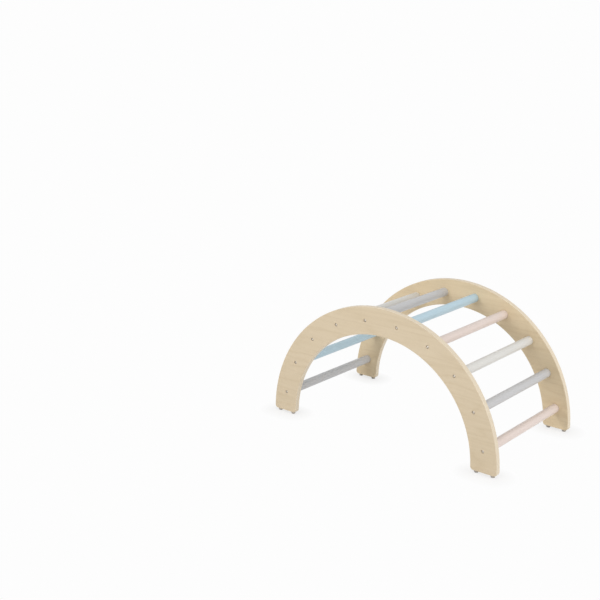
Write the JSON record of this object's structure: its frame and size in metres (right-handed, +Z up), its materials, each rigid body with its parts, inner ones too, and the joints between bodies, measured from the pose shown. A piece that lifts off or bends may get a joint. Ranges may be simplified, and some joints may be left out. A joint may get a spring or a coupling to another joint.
{
  "type": "climbing arch",
  "caption": "Half-round climbing arch for small children: two plywood arch panels joined by round painted wooden rungs, standing on small foot pads.",
  "frame": {"origin": "on the floor, under the middle of the arch", "axes": "+X along the arch, +Y along the rungs from the front panel to the back panel, +Z up"},
  "size_m": [0.9378, 0.524, 0.48],
  "materials": {
    "birch_plywood": "clear matt lacquer on pale birch plywood",
    "rung_grey": "thin matt grey paint over wood grain",
    "rung_blue": "thin matt pale blue paint over wood grain",
    "rung_pink": "thin matt pale pink paint over wood grain",
    "rung_white": "thin matt off-white paint over wood grain",
    "screw_steel": "plated steel",
    "insert_metal": "plain brass",
    "foot_rubber": "warm grey rubber"
  },
  "bodies": {
    "root": {"side_panel_front": "birch_plywood", "rung_inserts_front": "insert_metal", "rung_screws_front": "screw_steel", "foot_screws_front": "screw_steel", "foot_front_left_outer": "foot_rubber", "foot_front_left_inner": "foot_rubber", "foot_front_right_inner": "foot_rubber", "foot_front_right_outer": "foot_rubber", "side_panel_back": "birch_plywood", "rung_inserts_back": "insert_metal", "rung_screws_back": "screw_steel", "foot_screws_back": "screw_steel", "foot_back_left_outer": "foot_rubber", "foot_back_left_inner": "foot_rubber", "foot_back_right_inner": "foot_rubber", "foot_back_right_outer": "foot_rubber", "rung_01": "rung_grey", "rung_02": "rung_blue", "rung_03": "rung_pink", "rung_04": "rung_white", "rung_05": "rung_grey", "rung_06": "rung_blue", "rung_07": "rung_pink", "rung_08": "rung_white", "rung_09": "rung_grey", "rung_10": "rung_pink"}
  },
  "joints": []
}
